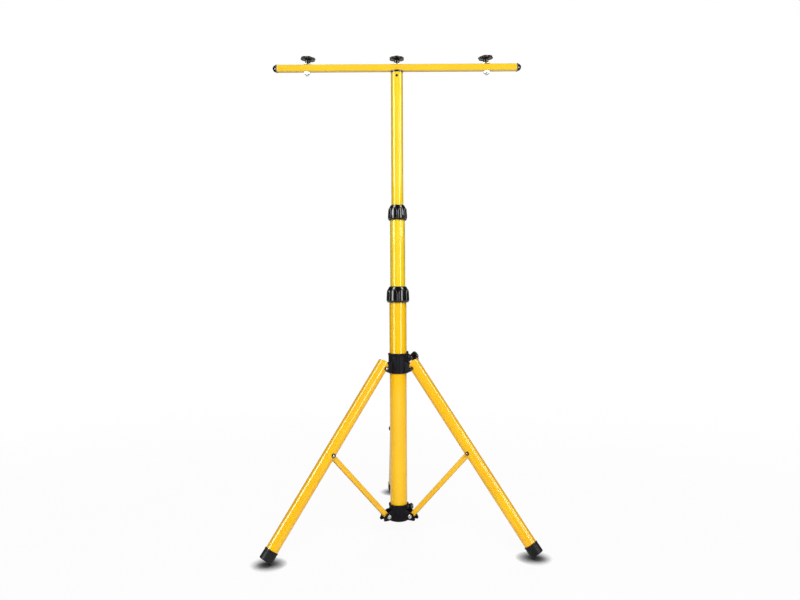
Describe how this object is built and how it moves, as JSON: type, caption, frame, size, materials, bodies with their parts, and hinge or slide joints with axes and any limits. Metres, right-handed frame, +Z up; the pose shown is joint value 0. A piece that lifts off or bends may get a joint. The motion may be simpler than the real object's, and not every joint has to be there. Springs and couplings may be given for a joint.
{
  "type": "work light stand",
  "caption": "Telescopic tripod stand for work lights: square crossbar with clamp knobs on a sliding mast with twist locks and folding legs with struts.",
  "frame": {"origin": "on the floor, on the mast's axis", "axes": "+Z up along the mast, +X along the crossbar towards its right end, -Y towards the viewer, between the left and right legs"},
  "size_m": [0.6019, 0.5405, 1.1223],
  "materials": {
    "yellow_paint": "gloss powder coat",
    "black_plastic": "gloss",
    "foot_rubber": "satin",
    "grey_plastic": "matte",
    "zinc_steel": "zinc plated"
  },
  "bodies": {
    "mast_base": {"outer_tube": "yellow_paint", "base_collar": "black_plastic", "base_screw": "black_plastic", "base_plug": "black_plastic", "strut_base_bolts": "zinc_steel", "strut_base_nuts": "zinc_steel", "lower_lock_sleeve": "black_plastic", "lower_lock_collet": "grey_plastic"},
    "lower_lock": {"lower_lock_nut": "black_plastic"},
    "middle_section": {"middle_tube": "yellow_paint", "middle_guide": "grey_plastic", "upper_lock_sleeve": "black_plastic", "upper_lock_collet": "grey_plastic"},
    "upper_lock": {"upper_lock_nut": "black_plastic"},
    "top_section": {"top_tube": "yellow_paint", "top_guide": "grey_plastic", "top_plug": "black_plastic", "plug_insert": "zinc_steel", "plug_screw": "zinc_steel", "stud_centre": "zinc_steel"},
    "crossbar": {"crossbar_tube": "yellow_paint", "end_cap_left": "black_plastic", "end_cap_right": "black_plastic", "station_nuts": "zinc_steel", "stud_left": "zinc_steel", "stud_right": "zinc_steel"},
    "left_seat": {"washer_left": "zinc_steel"},
    "left_knob": {"knob_left": "black_plastic"},
    "centre_seat": {"washer_centre": "zinc_steel"},
    "centre_knob": {"knob_centre": "black_plastic"},
    "right_seat": {"washer_right": "zinc_steel"},
    "right_knob": {"knob_right": "black_plastic"},
    "collar": {"leg_collar": "black_plastic", "collar_insert": "zinc_steel", "leg_pivot_bolts": "zinc_steel", "leg_pivot_nuts": "zinc_steel"},
    "clamp_foot": {"clamp_shoe": "grey_plastic"},
    "leg_clamp": {"clamp_knob": "black_plastic", "clamp_stud": "zinc_steel"},
    "left_leg": {"leg_left": "yellow_paint", "foot_left": "foot_rubber", "joint_bolt_left": "zinc_steel", "joint_nut_left": "zinc_steel"},
    "left_strut": {"strut_left": "yellow_paint", "strut_bush_left": "grey_plastic"},
    "right_leg": {"leg_right": "yellow_paint", "foot_right": "foot_rubber", "joint_bolt_right": "zinc_steel", "joint_nut_right": "zinc_steel"},
    "right_strut": {"strut_right": "yellow_paint", "strut_bush_right": "grey_plastic"},
    "rear_leg": {"leg_rear": "yellow_paint", "foot_rear": "foot_rubber", "joint_bolt_rear": "zinc_steel", "joint_nut_rear": "zinc_steel"},
    "rear_strut": {"strut_rear": "yellow_paint", "strut_bush_rear": "grey_plastic"}
  },
  "joints": [
    {"name": "lower_lock_twist", "type": "hinge", "parent": "mast_base", "child": "lower_lock", "pos_m": [0, 0, 0.565], "axis": [0, 0, 1], "range_deg": [0, 90]},
    {"name": "middle_slide", "type": "slide", "parent": "mast_base", "child": "middle_section", "axis": [0, 0, 1], "range_m": [-0.155, 0.25]},
    {"name": "upper_lock_twist", "type": "hinge", "parent": "middle_section", "child": "upper_lock", "pos_m": [0, 0, 0.758], "axis": [0, 0, 1], "range_deg": [0, 90]},
    {"name": "top_slide", "type": "slide", "parent": "middle_section", "child": "top_section", "axis": [0, 0, 1], "range_m": [-0.295, 0.115]},
    {"name": "bar_swivel", "type": "hinge", "parent": "top_section", "child": "crossbar", "pos_m": [0, 0, 1.089], "axis": [0, 0, 1], "continuous": true},
    {"name": "left_seat_lift", "type": "slide", "parent": "crossbar", "child": "left_seat", "axis": [0.0698, 0, 0.9976], "range_m": [0, 0.005]},
    {"name": "left_knob_turn", "type": "hinge", "parent": "left_seat", "child": "left_knob", "pos_m": [-0.2095, 0, 1.0965], "axis": [0.0698, 0, 0.9976], "range_deg": [0, 1440]},
    {"name": "centre_seat_lift", "type": "slide", "parent": "top_section", "child": "centre_seat", "axis": [0, 0, 1], "range_m": [0, 0.005]},
    {"name": "centre_knob_turn", "type": "hinge", "parent": "centre_seat", "child": "centre_knob", "pos_m": [0, 0, 1.0965], "axis": [0, 0, 1], "range_deg": [0, 1440]},
    {"name": "right_seat_lift", "type": "slide", "parent": "crossbar", "child": "right_seat", "axis": [-0.0698, 0, 0.9976], "range_m": [0, 0.005]},
    {"name": "right_knob_turn", "type": "hinge", "parent": "right_seat", "child": "right_knob", "pos_m": [0.2095, 0, 1.0965], "axis": [-0.0698, 0, 0.9976], "range_deg": [0, 1440]},
    {"name": "collar_slide", "type": "slide", "parent": "mast_base", "child": "collar", "axis": [0, 0, 1], "range_m": [0, 0.0996]},
    {"name": "clamp_shoe_slide", "type": "slide", "parent": "collar", "child": "clamp_foot", "axis": [0.8387, 0.5446, 0], "range_m": [0, 0.00375]},
    {"name": "clamp_knob_turn", "type": "hinge", "parent": "clamp_foot", "child": "leg_clamp", "pos_m": [0.03355, 0.02179, 0.415], "axis": [0.8387, 0.5446, 0], "range_deg": [0, 1080]},
    {"name": "left_leg_fold", "type": "hinge", "parent": "collar", "child": "left_leg", "pos_m": [-0.03522, -0.02287, 0.3947], "axis": [0.5446, -0.8387, 0], "range_deg": [0, 34]},
    {"name": "left_strut_fold", "type": "hinge", "parent": "mast_base", "child": "left_strut", "pos_m": [-0.02877, -0.01868, 0.0485], "axis": [-0.5446, 0.8387, 0], "range_deg": [0, 36.45]},
    {"name": "right_leg_fold", "type": "hinge", "parent": "collar", "child": "right_leg", "pos_m": [0.03742, -0.01907, 0.3947], "axis": [0.454, 0.891, 0], "range_deg": [0, 34]},
    {"name": "right_strut_fold", "type": "hinge", "parent": "mast_base", "child": "right_strut", "pos_m": [0.03056, -0.01557, 0.0485], "axis": [-0.454, -0.891, 0], "range_deg": [0, 36.45]},
    {"name": "rear_leg_fold", "type": "hinge", "parent": "collar", "child": "rear_leg", "pos_m": [-0.0022, 0.04194, 0.3947], "axis": [-0.9986, -0.0523, 0], "range_deg": [0, 34]},
    {"name": "rear_strut_fold", "type": "hinge", "parent": "mast_base", "child": "rear_strut", "pos_m": [-0.00179, 0.03425, 0.0485], "axis": [0.9986, 0.0523, 0], "range_deg": [0, 36.45]}
  ],
  "couplings": [
    {"joint": "left_seat_lift", "follows": "left_knob_turn", "m_per_rad": 0.00019894},
    {"joint": "centre_seat_lift", "follows": "centre_knob_turn", "m_per_rad": 0.00019894},
    {"joint": "right_seat_lift", "follows": "right_knob_turn", "m_per_rad": 0.00019894},
    {"joint": "clamp_shoe_slide", "follows": "clamp_knob_turn", "m_per_rad": 0.00019894},
    {"joint": "left_leg_fold", "follows": "collar_slide", "rad_per_m": 5.9574},
    {"joint": "left_strut_fold", "follows": "collar_slide", "rad_per_m": 6.3878},
    {"joint": "right_leg_fold", "follows": "collar_slide", "rad_per_m": 5.9574},
    {"joint": "right_strut_fold", "follows": "collar_slide", "rad_per_m": 6.3878},
    {"joint": "rear_leg_fold", "follows": "collar_slide", "rad_per_m": 5.9574},
    {"joint": "rear_strut_fold", "follows": "collar_slide", "rad_per_m": 6.3878}
  ]
}
